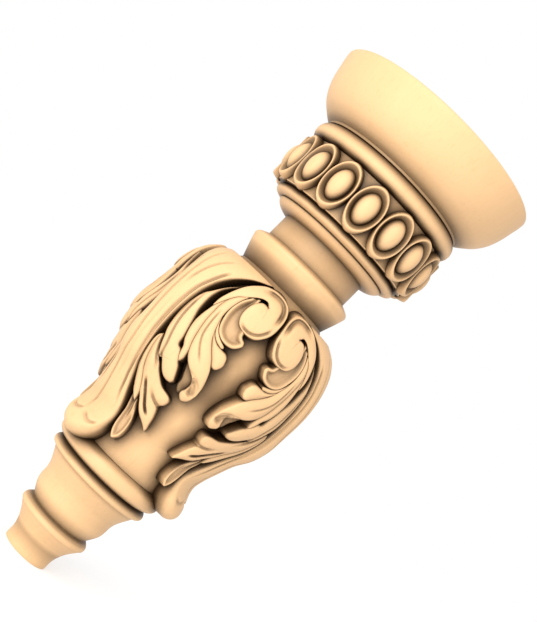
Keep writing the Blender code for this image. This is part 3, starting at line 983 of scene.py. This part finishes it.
@dataclass(frozen=True)
class AcanthusLeaf:
    """One leaf on the bulb: its side strips, mirrored about its middle, and its rib."""

    index: int
    side_strips: tuple[Strip, ...] = SIDE_STRIPS
    rib: Rib = RIB

    def build(self, material: bpy.types.Material) -> bpy.types.Object:
        """Carve the leaf and turn it to its place round the leg.

        Args:
            material: The wood.

        Returns:
            The leaf.
        """
        form = bmesh.new()
        for strip in self.side_strips:
            strip.build(form)
        whole = form.verts[:] + form.edges[:] + form.faces[:]
        bmesh.ops.mirror(form, geom=whole, matrix=Matrix.Identity(4), merge_dist=0.0, axis="X")
        self.rib.build(form)
        bmesh.ops.recalc_face_normals(form, faces=form.faces)
        turn = math.radians(FIRST_GAP_DEG - HALF_LEAF_DEG + self.index * LEAF_PITCH_DEG)
        bmesh.ops.rotate(form, cent=(0, 0, 0), matrix=Matrix.Rotation(turn, 3, "Z"), verts=form.verts)
        return new_piece(f"acanthus_leaf_{self.index + 1}", form, material)


@dataclass(frozen=True)
class CarvedWood:
    """Pale close-grained hardwood under a toned satin varnish, with painted shade dark brown in its recesses.
    """

    name: str = "toned_carved_hardwood_painted_shade"
    light: str = "#D7B085"
    mid: str = "#CEA87C"
    pore: str = "#B08556"
    # Dark brown of the painted shade that fills the recesses
    painted_shade_colour: str = "#2C1A08"
    # Width of the growth bands and spacing of the pores across the grain, and the scale along it
    band_mm: float = 12.8
    pore_mm: float = 1.0
    along_grain: float = 0.08
    # Part of the pores' noise that darkens the wood, and how much it does
    pore_range: tuple[float, float] = (0.56, 0.74)
    pore_tone: float = 0.2
    pore_depth_mm: float = 0.06
    # Painted shade: how far it reaches out of a recess, how steeply its ambient occlusion falls off, and the
    # heights between which it fades out towards the sole
    shade_reach_mm: float = 10.0
    shade_power: float = 3.6
    unshaded_foot_mm: tuple[float, float] = (2.0, 17.0)
    roughness: float = 0.5
    specular: float = 0.2

    def node(
        self,
        tree: bpy.types.NodeTree,
        kind: str,
        settings: dict[str, object] | None = None,
        links: dict[str, bpy.types.NodeSocket] | None = None,
    ) -> bpy.types.Node:
        """Add a node with its settings and links.

        Args:
            tree: The material's node tree.
            kind: The node's type.
            settings: Values by attribute, or by socket name or number.
            links: Output sockets by the name or number of the input that each feeds.

        Returns:
            The node.
        """
        node = tree.nodes.new(kind)
        for key, value in (settings or {}).items():
            if isinstance(key, str) and hasattr(node, key):
                setattr(node, key, value)
            else:
                node.inputs[key].default_value = value
        for key, socket in (links or {}).items():
            tree.links.new(socket, node.inputs[key])
        return node

    def build(self) -> bpy.types.Material:
        """Make the finish.

        The eye sees pale wood with fine darker flecks along the grain, and painted shade: the colour turns
        dark brown in the cuts and recesses, by their ambient occlusion, and stays pale near the sole.

        Returns:
            The material.
        """
        material = bpy.data.materials.new(self.name)
        material.use_nodes = True
        tree = material.node_tree
        shader = tree.nodes["Principled BSDF"]
        place = self.node(tree, "ShaderNodeTexCoord").outputs["Object"]
        long_grain = self.node(
            tree, "ShaderNodeMapping", {"Scale": (1.0, 1.0, self.along_grain)}, {"Vector": place}
        )
        tone = self.node(
            tree, "ShaderNodeTexNoise", {"Scale": 1 / (self.band_mm * MM), "Detail": 4.0},
            {"Vector": long_grain.outputs[0]},
        )
        flecks = self.node(
            tree, "ShaderNodeTexNoise", {"Scale": 1 / (self.pore_mm * MM), "Detail": 3.0, "Roughness": 0.6},
            {"Vector": long_grain.outputs[0]},
        )
        body = self.node(
            tree, "ShaderNodeMix", {"data_type": "RGBA", 6: linear(self.light), 7: linear(self.mid)},
            {0: tone.outputs[0]},
        )
        first, full = self.pore_range
        pores = self.node(
            tree, "ShaderNodeMapRange", {"From Min": first, "From Max": full, "To Max": self.pore_tone},
            {0: flecks.outputs[0]},
        )
        grained = self.node(
            tree, "ShaderNodeMix", {"data_type": "RGBA", 7: linear(self.pore)},
            {0: pores.outputs[0], 6: body.outputs[2]},
        )
        # Painted shade: the colour turns dark brown where ambient occlusion finds a recess
        occlusion = self.node(
            tree, "ShaderNodeAmbientOcclusion", {"Distance": self.shade_reach_mm * MM, "samples": 8}
        )
        unshaded_share = self.node(
            tree, "ShaderNodeMath", {"operation": "POWER", 1: self.shade_power}, {0: occlusion.outputs["AO"]}
        )
        # The painted shade fades out towards the sole, between these heights
        height = self.node(tree, "ShaderNodeSeparateXYZ", links={0: place}).outputs["Z"]
        low, high = (level * MM for level in self.unshaded_foot_mm)
        foot = self.node(tree, "ShaderNodeMapRange", {"From Min": high, "From Max": low}, {0: height})
        unshaded_or_sole = self.node(
            tree, "ShaderNodeMath", {"operation": "MAXIMUM"}, {0: unshaded_share.outputs[0], 1: foot.outputs[0]}
        )
        painted_shade_mix = self.node(
            tree, "ShaderNodeMix", {"data_type": "RGBA", 6: linear(self.painted_shade_colour)},
            {0: unshaded_or_sole.outputs[0], 7: grained.outputs[2]},
        )
        tree.links.new(painted_shade_mix.outputs[2], shader.inputs["Base Color"])
        shader.inputs["Roughness"].default_value = self.roughness
        shader.inputs["Specular IOR Level"].default_value = self.specular
        bump = self.node(
            tree, "ShaderNodeBump", {"Strength": 0.25, "Distance": self.pore_depth_mm * MM},
            {"Height": flecks.outputs[0]},
        )
        tree.links.new(bump.outputs[0], shader.inputs["Normal"])
        return material


@dataclass(frozen=True)
class Studio:
    """Plain pale floor, soft light from the left and the front, and the camera of the photograph.

    Places and sizes are in metres, and the lamp's power is in watts.
    """

    floor_radius: float = 3.0
    floor_colour: str = "#C8C8C8"
    floor_glow: float = 0.42
    lamp_place: tuple[float, float, float] = (-0.445, -1.04, 0.49)
    lamp_aim: tuple[float, float, float] = (0.0, 0.0, 0.12)
    lamp_side: float = 0.9
    lamp_power: float = 17.0
    lamp_colour: str = "#FFFBF2"
    lens: float = 67.72
    camera_place: tuple[float, float, float] = (0.0, -0.4832, 0.1208)
    roll_deg: float = 45.0
    shift: tuple[float, float] = (0.059, 0.0524)

    def floor(self) -> None:
        """Lay the pale floor under the leg.

        The eye sees matt white paper, lit evenly, with a soft shadow under the leg.
        """
        form = bmesh.new()
        bmesh.ops.create_circle(form, cap_ends=True, segments=64, radius=self.floor_radius)
        mesh = bpy.data.meshes.new("pale_floor")
        form.to_mesh(mesh)
        form.free()
        floor = bpy.data.objects.new("pale_floor", mesh)
        bpy.context.scene.collection.objects.link(floor)
        material = bpy.data.materials.new("white_paper")
        material.use_nodes = True
        shader = material.node_tree.nodes["Principled BSDF"]
        shader.inputs["Base Color"].default_value = linear(self.floor_colour)
        shader.inputs["Roughness"].default_value = 0.9
        shader.inputs["Specular IOR Level"].default_value = 0.0
        shader.inputs["Emission Color"].default_value = linear("#FFFFFF")
        shader.inputs["Emission Strength"].default_value = self.floor_glow
        mesh.materials.append(material)

    def lamp(self) -> None:
        """Hang the soft square key lamp, which faces the leg's middle."""
        light = bpy.data.lights.new("key", "AREA")
        light.size = self.lamp_side
        light.energy = self.lamp_power
        light.color = linear(self.lamp_colour)[:3]
        lamp = bpy.data.objects.new("key", light)
        lamp.location = self.lamp_place
        aim = Vector(self.lamp_aim) - Vector(self.lamp_place)
        lamp.rotation_euler = aim.to_track_quat("-Z", "Y").to_euler()
        bpy.context.scene.collection.objects.link(lamp)

    def sky(self) -> None:
        """Fill the room with even white light, and show it white behind the leg."""
        world = bpy.data.worlds.new("studio")
        world.use_nodes = True
        background = world.node_tree.nodes["Background"]
        background.inputs["Color"].default_value = (1.0, 1.0, 1.0, 1.0)
        background.inputs["Strength"].default_value = 1.0
        bpy.context.scene.world = world

    def camera(self) -> None:
        """Set the camera level with the leg's middle and rolled, so that the leg leans up to the right."""
        data = bpy.data.cameras.new("camera")
        data.lens = self.lens
        data.shift_x, data.shift_y = self.shift
        data.clip_start = 0.01
        camera = bpy.data.objects.new("camera", data)
        roll = math.radians(self.roll_deg)
        right = Vector((math.cos(roll), 0.0, math.sin(roll)))
        up = Vector((-math.sin(roll), 0.0, math.cos(roll)))
        turn = Matrix((right, up, Vector((0.0, -1.0, 0.0)))).transposed()
        camera.matrix_world = Matrix.LocRotScale(Vector(self.camera_place), turn.to_quaternion(), None)
        bpy.context.scene.collection.objects.link(camera)
        bpy.context.scene.camera = camera

    def build(self) -> None:
        """Set up floor, light and camera."""
        bpy.context.scene.view_settings.view_transform = "Standard"
        self.floor()
        self.sky()
        self.lamp()
        self.camera()


def main() -> None:
    """Build the leg piece by piece, then the studio round it."""
    logging.basicConfig(level=logging.INFO, format="%(name)s: %(message)s")
    wood = CarvedWood().build()
    makers = [TurnedLeg(), EggRow(), *(AcanthusLeaf(index) for index in range(LEAVES))]
    for maker in makers:
        piece = maker.build(wood)
        LOG.info("%s: %d faces", piece.name, len(piece.data.polygons))
    Studio().build()


if __name__ == "__main__":
    main()
